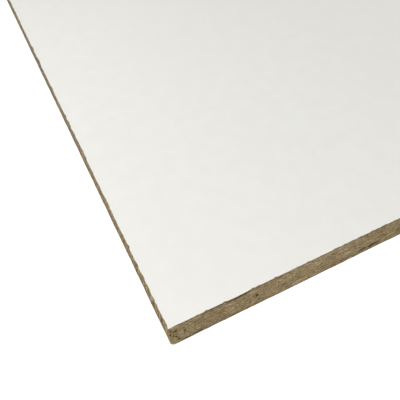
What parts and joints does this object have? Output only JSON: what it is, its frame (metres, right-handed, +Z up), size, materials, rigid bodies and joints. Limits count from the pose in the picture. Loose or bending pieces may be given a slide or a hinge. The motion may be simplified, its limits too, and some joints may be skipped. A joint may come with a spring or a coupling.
{
  "type": "melamine board",
  "caption": "Flat white melamine-faced particleboard panel with bare saw-cut edges.",
  "frame": {"origin": "centre of the underside, which lies on the floor", "axes": "+X along the length, +Y along the width, +Z up out of the upper melamine face"},
  "size_m": [1.22, 0.61, 0.016],
  "materials": {
    "particleboard": "matte",
    "white_melamine": "satin"
  },
  "bodies": {
    "root": {"particleboard_core": "particleboard", "melamine_face_top": "white_melamine", "melamine_face_bottom": "white_melamine"}
  },
  "joints": []
}
